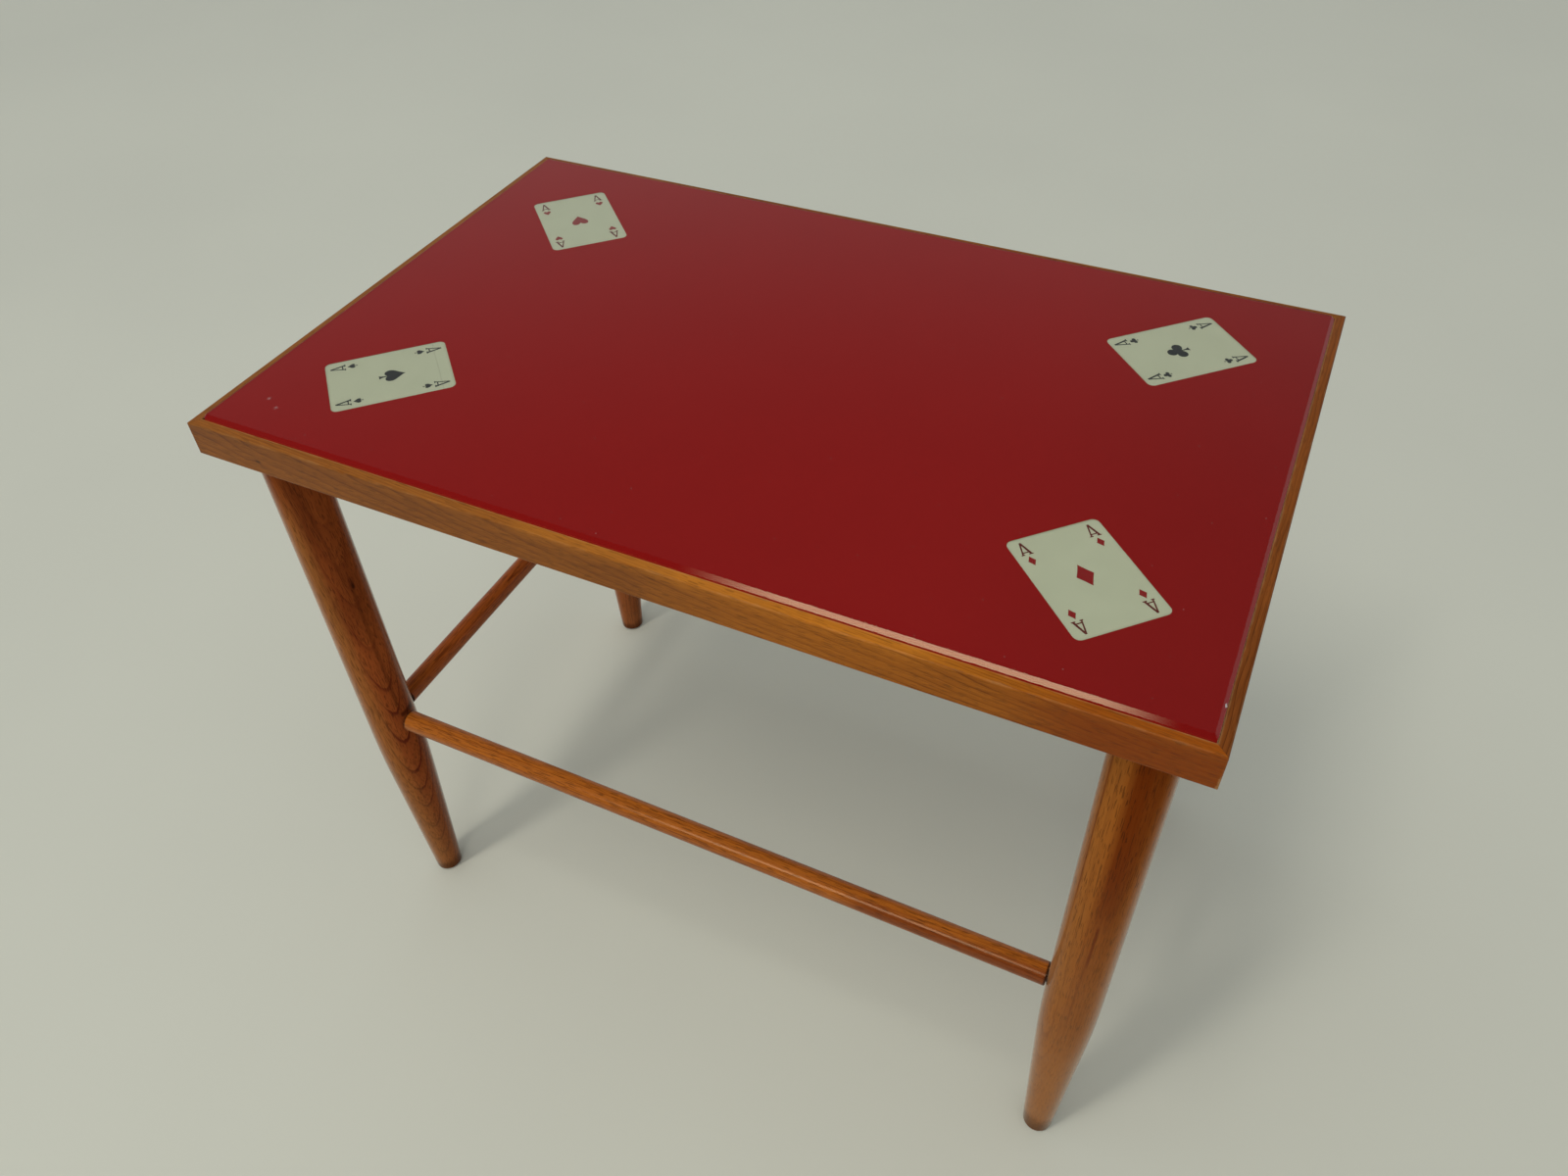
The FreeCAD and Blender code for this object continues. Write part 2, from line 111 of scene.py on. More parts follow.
class Shades:
    def __init__(self, tree):
        self.tree = tree
        tree.nodes.clear()

    # any node: its type, its settings, then the values or wires of its sockets by name or number
    def node(self, kind, settings, sockets, output=0):
        made = self.tree.nodes.new("ShaderNode" + kind)
        for key, value in settings.items():
            setattr(made, key, value)
        for key, value in sockets.items():
            if isinstance(value, Wire):
                self.tree.links.new(value.socket, made.inputs[key])
            else:
                made.inputs[key].default_value = value
        return Wire(self.tree, made.outputs[output]) if made.outputs else None

    def place(self, kind="Object"):
        return self.node("TexCoord", {}, {}, kind)

    def axes(self, vector):
        return [self.node("SeparateXYZ", {}, {"Vector": vector}, name) for name in "XYZ"]

    def vector(self, x, y, z):
        return self.node("CombineXYZ", {}, {"X": x, "Y": y, "Z": z})

    def noise(self, vector, scale=1.0, detail=2.0, rough=0.5):
        return self.node("TexNoise", {}, {
            "Vector": vector, "Scale": scale, "Detail": detail, "Roughness": rough})

    # noise drawn out along the grain: run holds the two places across it and the one along it,
    # and scales the number of lumps in a metre across it and along it
    def grain(self, run, scales, detail=2.0, rough=0.5):
        across, deep, length = run
        fine, drawn = scales
        stretched = self.vector(across * fine, deep * fine, length * drawn)
        return self.noise(stretched, 1.0, detail, rough)

    # 0 below low, 1 above high, smooth between
    def ease(self, value, low, high):
        return self.node("MapRange", {"interpolation_type": "SMOOTHSTEP"}, {
            "Value": value, "From Min": low, "From Max": high})

    # 1 up to low, 0 above high
    def fade(self, value, low, high):
        return 1 - self.ease(value, low, high)

    # rises from start to full, and falls again from late to end
    def band(self, value, start, full, late, end):
        return self.ease(value, start, full) * self.fade(value, late, end)

    def higher(self, first, second):
        return self.node("Math", {"operation": "MAXIMUM"}, {0: first, 1: second})

    def clamp(self, value):
        return self.node("Clamp", {}, {"Value": value})

    def blend(self, share, first, second):
        return self.node("Mix", {"data_type": "RGBA"}, {0: share, 6: first, 7: second}, 2)

    def tint(self, share, colour, factor):
        return self.node("Mix", {"data_type": "RGBA", "blend_type": "MULTIPLY"}, {
            0: share, 6: colour, 7: factor}, 2)

    # sums of two vectors: the result is a vector, or a number where output is "Value"
    def vectors(self, operation, first, second, output="Vector"):
        return self.node("VectorMath", {"operation": operation}, {0: first, 1: second}, output)

    def apart(self, first, second):
        return self.vectors("DISTANCE", first, second, "Value")

    def bump(self, height, strength, distance):
        return self.node("Bump", {}, {
            "Height": height, "Strength": strength, "Distance": distance})

    def finish(self, shader, kind="OutputMaterial"):
        self.node(kind, {}, {"Surface": shader})


def rgb(red, green, blue):
    return (red, green, blue, 1.0)


def newShades(name):
    material = bpy.data.materials.new(name)
    material.use_nodes = True
    return material, Shades(material.node_tree)


def wear(node, material):
    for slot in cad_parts[node].material_slots:
        slot.material = material


# leaves one object selected and active
def takeUp(piece):
    bpy.ops.object.select_all(action="DESELECT")
    bpy.context.view_layer.objects.active = piece
    piece.select_set(True)


# Camera
cameraView = {
    "place": (0.32343, -0.65135, 1.06752),
    "turn": (45.526, 1.5416, 25.4492),      # degrees
    "lens": 27.515, "sensor": 36,           # mm
    "clip": (0.02, 60),
}
bpy.ops.object.camera_add(
    location=cameraView["place"], rotation=[math.radians(a) for a in cameraView["turn"]])
camera = bpy.context.object
camera.data.sensor_width = cameraView["sensor"]
camera.data.lens = cameraView["lens"]
camera.data.clip_start, camera.data.clip_end = cameraView["clip"]
scene.camera = camera

# Floor
floorLook = {
    "size": 24.0, "mottle": 1.4, "rough": 0.8,
    "dark": rgb(0.54, 0.54, 0.465), "pale": rgb(0.60, 0.60, 0.510),
}
bpy.ops.mesh.primitive_plane_add(size=floorLook["size"], location=(0, 0, 0))
floor = bpy.context.object
floor.name = "studio_floor"
material, shades = newShades("pale_floor")
mottle = shades.noise(shades.place(), floorLook["mottle"], 3)
shade = shades.blend(mottle, floorLook["dark"], floorLook["pale"])
shades.finish(shades.node("BsdfPrincipled", {}, {
    "Base Color": shade, "Roughness": floorLook["rough"]}))
floor.data.materials.append(material)

# Air: it has one level for the camera, one for the light it sheds and one for what the lacquer
# and the glass mirror. The pairs say where on a unit sphere of headings a change begins and ends.
airLook = {
    "colour": rgb(0.93, 0.98, 1.0), "seen": 0.72,
    "shedLow": 0.26, "shedAbove": 0.60,                         # all round, and added overhead
    "shedBack": 0.48, "shedFront": 0.45, "shedLeft": 0.54,      # at the back right, and added
    "frontward": (-0.7, 0.7), "leftward": (-0.8, 0.8),
    "mirrorAbove": 0.11, "mirrorLow": 0.42, "lowTop": (0.2, 0.65),
    "mirrorBack": 0.95, "mirrorFront": 0.75,                    # at the back, and less in front
    "mirrorRight": 0.15, "mirrorRest": 0.85,                    # to the right, and added elsewhere
    "rightward": (0.25, 0.55),
    "farWall": 0.3, "wallTop": (0.30, 0.45), "wallSide": (0.2, 0.5),
}
# a long level window, mirrored by the front bevel of the glass
windowStrip = {
    "heading": (0.0, -0.7507, 0.6601), "edge": (0.982, 0.991),
    "left": (-0.41, -0.31), "right": (-0.07, 0.01),
    "glow": 6.4, "colour": rgb(1.22, 0.97, 0.60),
}
world = bpy.data.worlds.new("studio_air")
scene.world = world
world.use_nodes = True
air = Shades(world.node_tree)
direction = air.place("Generated")
east, north, height = air.axes(direction)
frontal = air.ease(0 - north, *airLook["frontward"])
leftward = air.ease(0 - east, *airLook["leftward"])
aside = airLook["shedBack"] + frontal * airLook["shedFront"] + leftward * airLook["shedLeft"]
shed = (airLook["shedLow"] + air.higher(height, 0.0) * airLook["shedAbove"]) * aside

mirrored = air.fade(height, *airLook["lowTop"]) * airLook["mirrorLow"] + airLook["mirrorAbove"]
mirrored = mirrored * (airLook["mirrorBack"] - frontal * airLook["mirrorFront"])
unshaded = air.fade(east, *airLook["rightward"])
mirrored = mirrored * (airLook["mirrorRight"] + unshaded * airLook["mirrorRest"])
farWall = air.fade(height, *airLook["wallTop"]) * air.ease(east, *airLook["wallSide"])
mirrored = air.higher(mirrored, farWall * airLook["farWall"])

toWindow = air.vectors("DOT_PRODUCT", direction, windowStrip["heading"], "Value")
toWindow = toWindow / (1 - east ** 2) ** 0.5
glow = air.ease(toWindow, *windowStrip["edge"]) * air.ease(east, *windowStrip["left"])
glow = glow * air.fade(east, *windowStrip["right"]) * windowStrip["glow"]

glossy = air.node("LightPath", {}, {}, "Is Glossy Ray")
seen = air.node("LightPath", {}, {}, "Is Camera Ray")
level = glossy * (mirrored + glow) + (1 - glossy) * shed
level = seen * airLook["seen"] + (1 - seen) * level
colour = air.blend(glossy * glow / (glow + mirrored), airLook["colour"], windowStrip["colour"])
air.finish(air.node("Background", {}, {"Color": colour, "Strength": level}), "OutputWorld")

# Lamps: level is the brightness of a lamp's face, where a lit white card is 1
lamps = {
    "window": {"place": (-1.35, -2.75, 7.0), "size": (0.60, 3.20), "level": 24.5},
    "doorway": {"place": (0.30, -1.90, 2.00), "size": (0.60, 1.20), "level": 3.3},
}
lampColour = (1.0, 0.96, 0.89)
lampTarget = Vector((0, 0, 0.45))
for name, lamp in lamps.items():
    bpy.ops.object.light_add(type="AREA", location=lamp["place"])
    light = bpy.context.object
    light.name = name + "_lamp"
    light.visible_camera = False
    light.visible_glossy = False
    light.data.shape = "RECTANGLE"
    light.data.size, light.data.size_y = lamp["size"]
    light.data.energy = lamp["level"] * math.pi * light.data.size * light.data.size_y
    light.data.color = lampColour
    aim = lampTarget - Vector(lamp["place"])
    light.rotation_euler = aim.to_track_quat("-Z", "Y").to_euler()
print("camera, floor and lamps set")

# Timber in general. Noise is given in lumps to the metre, across the grain and along it.
timberNoise = {
    "sway": 12, "shake": (140, 16), "broad": (30, 4), "fibre": (1100, 28), "silk": (340, 16),
    "pores": (1700, 95), "drift": 150, "scuff": 60,
}
# a growth ring counts from 0 to 1, and each part of it rises and falls between four places
ringShape = {
    "early": (0.0, 0.04, 0.25, 0.5), "late": (0.25, 0.95, 0.97, 1.0),
    "line": (0.80, 0.90, 0.95, 1.0), "drift": 1.4,
    "patch": (0.32, 0.66), "linePlain": 0.35, "linePatch": 0.65, "lineFade": 0.6,
    "poreEarly": 0.06, "poreEdge": 0.05,
}
knotShape = {"squeeze": 0.4, "reach": 3.5, "bend": 0.8, "core": 0.2, "depth": 0.8}
streakShape = {
    "fine": 4 * mm, "fineRagged": 1.2, "ragged": 0.3,
    "edge": (0.3, 1.0), "ends": (0.0, 0.12, 0.8, 1.0),
}
# face is the band of painted shade on a rail's outer face; the paler foot is partly painted light
wearAndShadeShape = {       # places are mm from the edge, the joint, the shoulder or the floor
    "face": (0.3, 1.0), "arris": (1.0, 2.6), "arrisScuff": 2.6, "arrisDepth": 0.3,
    "mitre": (0.12, 0.40), "mitreDepth": 0.4, "grime": 1.2, "grimeDepth": 0.85,
    "dustAndFloorLightPlain": 0.6, "dustAndFloorLightScuff": 0.8, "footDarkScuff": 22, "footDarkDepth": 0.6,
}
lacquer = {
    "porePart": 0.2, "fibrePart": 0.14, "relief": 0.1 * mm, "fibreRelief": 0.3,
    "sheenRough": 0.25, "sheenTint": rgb(1.0, 0.80, 0.58),
}


# distance from the pith line, which the rings follow, and the hearts of the knots
def bendRings(shades, place, run, piece):
    look = piece["look"]
    across, deep, length = run
    sway = shades.grain(run, (timberNoise["sway"], look["swayRun"]))
    shake = shades.grain(run, timberNoise["shake"])
    radius = (across ** 2 + deep ** 2) ** 0.5
    radius = radius + (sway - 0.5) * look["sway"] + (shake - 0.5) * look["shake"]
    squeeze = [knotShape["squeeze"] if axis == piece["along"] else 1.0 for axis in "xyz"]
    hearts = []
    for spot, size in piece.get("knots", ()):
        squeezed = shades.vectors("MULTIPLY", place, squeeze)
        gap = shades.apart(squeezed, [p * s for p, s in zip(spot, squeeze)])
        bend = shades.fade(gap, 0.0, size * knotShape["reach"])
        radius = radius + bend * size * knotShape["bend"]
        hearts.append(shades.fade(gap, size * knotShape["core"], size))
    return radius, hearts


# how much of the dark tone each place takes, and the open pores
def drawGrain(shades, run, radius, fibre, silk, look):
    drift = shades.noise(shades.vector(radius * timberNoise["drift"], 0.0, 0.0), 1.0, 1)
    phase = radius / look["ring"] + drift * ringShape["drift"]
    turn = shades.node("Math", {"operation": "FRACT"}, {0: phase})
    early, late, line = [shades.band(turn, *ringShape[part]) for part in ("early", "late", "line")]
    patch = shades.ease(shades.grain(run, timberNoise["broad"]), *ringShape["patch"])

    line = line * (ringShape["linePlain"] + patch * ringShape["linePatch"]) * look["lineDepth"]
    if "lineFade" in look:      # lines grow fainter up the piece
        line = line * (1 - shades.ease(run[2], *look["lineFade"]) * ringShape["lineFade"])
    share = late * look["ringDepth"] + line
    share = share + (fibre - 0.5) * look["fibreDepth"] + (silk - 0.5) * look["silkDepth"]
    share = share + patch * look["broadDepth"]

    poreStart = look["poreFrom"] - early * ringShape["poreEarly"]
    poreField = shades.grain(run, timberNoise["pores"], 0)
    pores = shades.ease(poreField, poreStart, poreStart + ringShape["poreEdge"])
    return shades.clamp(share), pores


# streaks run with the grain: start and end points, half width at each, depth, perhaps a tone
def drawStreaks(shades, place, silk, colour, piece):
    for start, end, startWidth, endWidth, depth, *tone in piece.get("streaks", ()):
        fine = startWidth < streakShape["fine"]
        ragged = streakShape["fineRagged"] if fine else streakShape["ragged"]
        path = [e - s for s, e in zip(start, end)]
        reach = sum(p * p for p in path)
        offset = shades.vectors("SUBTRACT", place, start)
        part = shades.vectors("DOT_PRODUCT", offset, [p / reach for p in path], "Value")
        part = shades.clamp(part)
        nearest = shades.node("VectorMath", {"operation": "SCALE"}, {0: path, "Scale": part})
        width = startWidth + part * (endWidth - startWidth)
        off = shades.apart(offset, nearest) / width + (silk - 0.5) * ragged
        mark = shades.fade(off, *streakShape["edge"]) * shades.band(part, *streakShape["ends"])
        tone = piece["look"][tone[0] if tone else "streak"]
        colour = shades.blend(mark * depth, colour, tone)
    return colour


# a rail's outer face is darkened with painted shade, its arrises are worn and its mitred joints are
# dark;
# an edge is where two planes cross, each an axis and a place
def wearAndShadeRail(shades, lines, scuff, colour, piece):
    look = piece["look"]
    axis, spot = piece["outer"]
    # painted shade: the outer face is multiplied darker by the look's face colour
    face = shades.fade(abs(lines[axis] - spot) / mm, *wearAndShadeShape["face"])
    colour = shades.tint(face, colour, look["face"])
    for (axisA, placeA), (axisB, placeB) in piece["edges"]:
        off = (abs(lines[axisA] - placeA) + abs(lines[axisB] - placeB)) / mm
        worn = shades.fade(off + scuff * wearAndShadeShape["arrisScuff"], *wearAndShadeShape["arris"])
        colour = shades.blend(worn * wearAndShadeShape["arrisDepth"], colour, look["worn"])
    gap = abs((abs(lines["x"]) - rightEnd) - (abs(lines["y"]) - backFace)) / mm
    joint = shades.fade(gap, *wearAndShadeShape["mitre"])
    return shades.blend(joint * wearAndShadeShape["mitreDepth"], colour, look["knot"])


# darker next to a rod's shoulder, where it meets the leg
def grimeShoulder(shades, length, scuff, colour, piece):
    reach, shoulder = wearAndShadeShape["grime"], piece["shoulder"] / mm
    gap = abs(length) / mm + scuff * reach
    nearShoulder = shades.ease(gap, shoulder - reach, shoulder)
    return shades.blend(nearShoulder * wearAndShadeShape["grimeDepth"], colour, piece["look"]["knot"])


# a leg is paler toward the foot, partly a dusty finish and partly painted light from the floor,
# and darker near the floor
def paleAndDarkFoot(shades, z, scuff, colour, look):
    # partly painted light: this paleness also stands in for light and sheen from the floor
    low, high, depth = look["dustAndFloorLightSpan"]
    dustAndFloorLight = shades.fade(z, low, high)
    dustAndFloorLight = dustAndFloorLight * (wearAndShadeShape["dustAndFloorLightPlain"] + scuff * wearAndShadeShape["dustAndFloorLightScuff"]) * depth
    colour = shades.blend(dustAndFloorLight, colour, look["dustAndFloorLight"])
    # darker near the floor
    footDarkening = shades.fade(z / mm + scuff * wearAndShadeShape["footDarkScuff"], *look["footDarkening"])
    return shades.blend(footDarkening * wearAndShadeShape["footDarkDepth"], colour, look["knot"])


# A piece holds its look; along, the grain's axis; pith, the two places across the grain where
# the rings are centred at the middle of the table; and tilt, the slopes of that line. It may hold
# knots and streaks. A rail adds its outer face and its edges, and a rod its shoulder.
def makeTimber(node, piece):
    material, shades = newShades(node + "_timber")
    look, pith, tilt = piece["look"], piece["pith"], piece["tilt"]
    place = shades.place()
    x, y, z = shades.axes(place)
    length, first, second = {"x": (x, y, z), "y": (y, x, z), "z": (z, x, y)}[piece["along"]]
    across = first - pith[0] + tilt[0] * length
    deep = second - pith[1] + tilt[1] * length
    run = (across, deep, length)
    fibre = shades.grain(run, timberNoise["fibre"], 3, 0.6)
    silk = shades.grain(run, timberNoise["silk"], 3)
    scuff = shades.vector(*(line * timberNoise["scuff"] for line in (x, y, z)))
    scuff = shades.noise(scuff, 1.0, 4, 0.65)

    radius, hearts = bendRings(shades, place, run, piece)
    share, pores = drawGrain(shades, run, radius, fibre, silk, look)
    colour = shades.blend(share, look["light"], look["dark"])
    colour = drawStreaks(shades, place, silk, colour, piece)
    colour = shades.blend(pores * look["poreDepth"], colour, look["pore"])
    for heart in hearts:
        colour = shades.blend(heart * knotShape["depth"], colour, look["knot"])
    if "edges" in piece:
        colour = wearAndShadeRail(shades, {"x": x, "y": y, "z": z}, scuff, colour, piece)
    if "shoulder" in piece:
        colour = grimeShoulder(shades, length, scuff, colour, piece)
    if "dustAndFloorLightSpan" in look:
        colour = paleAndDarkFoot(shades, z, scuff, colour, look)

    rough = look["rough"] + pores * lacquer["porePart"] + (fibre - 0.5) * lacquer["fibrePart"]
    relief = fibre * lacquer["fibreRelief"] - pores
    skim = 1.0
    if "skim" in look:      # this lacquer mirrors only where it is seen at a slant
        facing = shades.node("LayerWeight", {}, {"Blend": 0.5}, "Facing")
        skim = shades.ease(facing, *look["skim"])
    shades.finish(shades.node("BsdfPrincipled", {}, {
        "Base Color": colour, "Roughness": rough,
        "Normal": shades.bump(relief, look["bump"], lacquer["relief"]),
        "Specular IOR Level": look["gloss"], "Coat Weight": skim, "Coat IOR": look["coat"],
        "Coat Roughness": look["coatRough"], "Sheen Weight": look["sheen"],
        "Sheen Roughness": lacquer["sheenRough"], "Sheen Tint": lacquer["sheenTint"]}))
    return material


# Rails of the top's frame
railLow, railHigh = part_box("front_rail")
railFoot, railTop = railLow.z, railHigh.z
railLip = 7 * mm
frontLip = frontFace + railLip / 2
railLook = {
    "light": rgb(0.42, 0.134, 0.011), "dark": rgb(0.19, 0.048, 0.003),
    "pore": rgb(0.055, 0.020, 0.006), "knot": rgb(0.045, 0.016, 0.006),
    "streak": rgb(0.135, 0.055, 0.022), "worn": rgb(0.42, 0.24, 0.10),
    # face multiplies a rail's outer face darker, a painted shade
    "face": rgb(0.88, 0.84, 0.78), "ring": 2.3 * mm, "ringDepth": 0.26, "lineDepth": 0.45,
    "fibreDepth": 0.55, "silkDepth": 0.85, "broadDepth": 0.30, "sway": 15 * mm, "swayRun": 8.0,
    "shake": 0.8 * mm, "poreFrom": 0.64, "poreDepth": 0.35, "rough": 0.42, "bump": 0.35,
    "coat": 1.2, "coatRough": 0.2, "gloss": 0.0, "sheen": 0.0,
}
frontRailLook = dict(
    railLook, sway=6 * mm, gold=rgb(0.62, 0.22, 0.020), ruddy=rgb(0.20, 0.028, 0.0005))
dimRailLook = dict(railLook, light=rgb(0.220, 0.073, 0.009), dark=rgb(0.10, 0.027, 0.003))
darkRailLook = dict(railLook, light=rgb(0.215, 0.060, 0.010), dark=rgb(0.094, 0.023, 0.004))
rails = {
    "front_rail": {
        "look": frontRailLook, "outer": ("y", frontFace),
        "along": "x", "pith": (-0.163, 0.588), "tilt": (0.060, 0.004),
        "knots": [((-0.297, frontFace, 0.560), 1.6 * mm)],
        "streaks": [
            ((-0.60, frontFace, 0.565), (0.14, frontFace, 0.565), 60 * mm, 60 * mm, 0.38),
            ((-0.09, frontLip, railTop), (0.06, frontLip, railTop), 9 * mm, 9 * mm, 0.2, "gold"),
            ((0.02, frontLip, railTop), (0.22, frontLip, railTop), 10 * mm, 10 * mm, 0.2, "gold"),
            ((0.0, frontFace, 0.560), (0.21, frontFace, 0.560), 34 * mm, 34 * mm, 0.12, "gold"),
            ((0.22, frontFace, 0.565), (0.80, frontFace, 0.565), 60 * mm, 60 * mm, 0.7, "ruddy"),
            ((0.23, frontLip, railTop), (0.48, frontLip, railTop), 9 * mm, 9 * mm, 0.1, "gold"),
            ((rightEnd, frontFace, 0.545), (rightEnd, frontFace, 0.562),
             2.2 * mm, 1.4 * mm, 0.7, "worn")]},
    "back_rail": {
        "look": dimRailLook, "outer": ("y", backFace),
        "along": "x", "pith": (0.160, 0.545), "tilt": (-0.010, 0.006)},
    "left_rail": {
        "look": railLook, "outer": ("x", leftEnd),
        "along": "y", "pith": (-0.300, 0.582), "tilt": (0.012, 0.004),
        "streaks": [((leftEnd, -0.60, 0.565), (leftEnd, 0.60, 0.565), 60 * mm, 60 * mm, 0.6)]},
    "right_rail": {
        "look": darkRailLook, "outer": ("x", rightEnd),
        "along": "y", "pith": (0.290, 0.550), "tilt": (-0.012, 0.008)},
}
for node, rail in rails.items():
    axis, spot = rail["outer"]
    inner = spot - math.copysign(railLip, spot)
    rail["edges"] = [
        ((axis, spot), ("z", railTop)), ((axis, spot), ("z", railFoot)),
        ((axis, inner), ("z", railTop)), (("x", rightEnd), ("y", frontFace))]
    wear(node, makeTimber(node, rail))

# Legs: turned timber with a reddish lacquer; the front right leg is paler and drier
turnedLook = {
    "light": rgb(0.355, 0.086, 0.020), "dark": rgb(0.125, 0.021, 0.008),
    "pore": rgb(0.030, 0.009, 0.004), "knot": rgb(0.025, 0.008, 0.004),
    "streak": rgb(0.055, 0.010, 0.003), "ring": 3.0 * mm, "ringDepth": 0.18, "lineDepth": 0.62,
    "fibreDepth": 0.40, "silkDepth": 0.40, "broadDepth": 0.35, "sway": 2.5 * mm, "swayRun": 3.0,
    "shake": 0.5 * mm, "poreFrom": 0.62, "poreDepth": 0.5, "rough": 0.40, "bump": 0.3,
    "coat": 1.45, "coatRough": 0.15, "gloss": 0.0, "sheen": 0.2,
}
# faded is the pale tone of stripes down the legs' left sides, a painted sheen
legLook = dict(
    turnedLook, faded=rgb(0.42, 0.19, 0.05), dustAndFloorLight=rgb(0.28, 0.13, 0.055),
    dustAndFloorLightSpan=(0.0, 0.22, 0.35), footDarkening=(16.0, 30.0), skim=(0.42, 0.85), lineFade=(0.24, 0.40))
tanLook = dict(
    legLook, light=rgb(0.40, 0.125, 0.018), dark=rgb(0.19, 0.045, 0.005), ring=1.5 * mm,
    streak=rgb(0.11, 0.011, 0.001), ringDepth=0.20, lineDepth=0.30, sway=1.2 * mm,
    dustAndFloorLight=rgb(0.35, 0.175, 0.08), dustAndFloorLightSpan=(0.0, 0.50, 0.60), footDarkening=(20.0, 44.0), coat=1.33,
    skim=(0.55, 0.90), poreFrom=0.65)
legs = {
    "front_left_leg": {
        "look": legLook, "along": "z", "pith": (-0.3400, -0.1608), "tilt": (0.0796, 0.0088),
        "knots": [((-0.2942, -0.1915, 0.411), 2.2 * mm)],
        "streaks": [
            ((-0.3000, -0.2000, 0.630), (-0.3000, -0.2000, 0.330), 30 * mm, 24 * mm, 0.35),
            ((-0.2992, -0.2013, 0.500), (-0.2956, -0.1957, 0.405), 2.2 * mm, 1.8 * mm, 0.28),
            ((-0.3040, -0.2050, 0.620), (-0.3010, -0.2040, 0.440), 14 * mm, 8 * mm, 0.35),
            ((-0.2947, -0.1931, 0.430), (-0.2947, -0.1931, 0.240), 2.2 * mm, 3.0 * mm, 0.35),
            ((-0.2952, -0.1945, 0.252), (-0.2958, -0.1760, 0.252), 4.0 * mm, 6.0 * mm, 0.8),
            # a pale stripe down the left side, a painted sheen
            ((-0.3176, -0.2086, 0.540), (-0.3176, -0.2086, -0.12), 14 * mm, 34 * mm, 0.4,
             "faded")]},
    "front_right_leg": {
        "look": tanLook, "along": "z", "pith": (0.345, -0.150), "tilt": (0.0005, 0.0015),
        "streaks": [
            ((0.3150, -0.2057, 0.123), (0.3250, -0.2026, 0.139), 1.3 * mm, 1.1 * mm, 0.5),
            ((0.3250, -0.2064, 0.620), (0.3200, -0.2082, 0.330), 22 * mm, 8 * mm, 0.50),
            ((0.3240, -0.2069, 0.620), (0.3205, -0.2081, 0.110), 18 * mm, 14 * mm, 0.40),
            ((0.3195, -0.2083, 0.620), (0.3192, -0.2084, 0.370), 9 * mm, 6 * mm, 0.35),
            # a pale stripe down the left side, a painted sheen
            ((0.2992, -0.2013, 0.620), (0.2992, -0.2013, 0.200), 18 * mm, 18 * mm, 0.2, "faded"),
            ((0.2990, -0.2012, 0.540), (0.2990, -0.2012, 0.350), 1.2 * mm, 1.0 * mm, 0.5),
            ((0.3186, -0.2085, 0.360), (0.3182, -0.2086, 0.300), 1.3 * mm, 1.3 * mm, 0.8),
            ((0.3180, -0.2085, 0.330), (0.3160, -0.2080, 0.200), 1.2 * mm, 1.2 * mm, 0.4)]},
    "back_left_leg": {
        "look": legLook, "along": "z", "pith": (-0.300, 0.240), "tilt": (-0.008, 0.010)},
    "back_right_leg": {
        "look": legLook, "along": "z", "pith": (0.360, 0.150), "tilt": (0.010, 0.010)},
}
for node, leg in legs.items():
    wear(node, makeTimber(node, leg))

# Stretchers: round rods, darker where their shoulders meet the legs
rodLook = dict(
    turnedLook, light=rgb(0.42, 0.122, 0.014), dark=rgb(0.19, 0.042, 0.005), ring=1.5 * mm,
    streak=rgb(0.16, 0.030, 0.004), coat=1.32, coatRough=0.16)
dimRodLook = dict(rodLook, light=rgb(0.37, 0.088, 0.014), dark=rgb(0.165, 0.032, 0.005))
longShoulder, shortShoulder = 293.7 * mm, 165.5 * mm        # from the middle of the table
stretchers = {
    "front_stretcher": {
        "look": rodLook, "along": "x", "pith": (-0.170, 0.215), "tilt": (0.006, 0.010),
        "streaks": [((0.12, -0.1955, 0.243), (0.42, -0.1955, 0.243), 8 * mm, 12 * mm, 0.8)],
        "shoulder": longShoulder},
    "back_stretcher": {
        "look": rodLook, "along": "x", "pith": (0.205, 0.262), "tilt": (0.008, -0.010),
        "shoulder": longShoulder},
    "left_stretcher": {
        "look": dimRodLook, "along": "y", "pith": (-0.300, 0.265), "tilt": (0.010, 0.008),
        "shoulder": shortShoulder},
    "right_stretcher": {
        "look": dimRodLook, "along": "y", "pith": (0.335, 0.215), "tilt": (-0.010, 0.006),
        "shoulder": shortShoulder},
}
for node, rod in stretchers.items():
    wear(node, makeTimber(node, rod))

# Bare timber out of sight: battens, panel and the tongues of the mitres
rawLook = {
    "light": rgb(0.50, 0.32, 0.16), "dark": rgb(0.33, 0.19, 0.085),
    "pore": rgb(0.18, 0.10, 0.05), "ring": 3.0 * mm, "ringDepth": 0.5, "lineDepth": 0.3,
    "fibreDepth": 0.5, "silkDepth": 0.4, "broadDepth": 0.3, "sway": 8 * mm, "swayRun": 3.0,
    "shake": 1.2 * mm, "poreFrom": 0.62, "poreDepth": 0.4, "rough": 0.75, "bump": 0.5,
    "coat": 1.05, "coatRough": 0.5, "gloss": 0.3, "sheen": 0.0,
}
bareParts = {
    "left_batten": {"look": rawLook, "along": "y", "pith": (-0.28, 0.50), "tilt": (0.004, 0.004)},
    "right_batten": {"look": rawLook, "along": "y", "pith": (0.33, 0.49), "tilt": (0.004, 0.004)},
    "base_panel": {"look": rawLook, "along": "x", "pith": (0.05, 0.30), "tilt": (0.004, 0.004)},
}
for node, part in bareParts.items():
    wear(node, makeTimber(node, part))
tongue = {"look": rawLook, "along": "z", "pith": (0.5, 0.3), "tilt": (0.0, 0.0)}
tongueTimber = makeTimber("spline", tongue)
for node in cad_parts:
    if node.startswith("mitre_spline"):
        wear(node, tongueTimber)
print("timber finished")

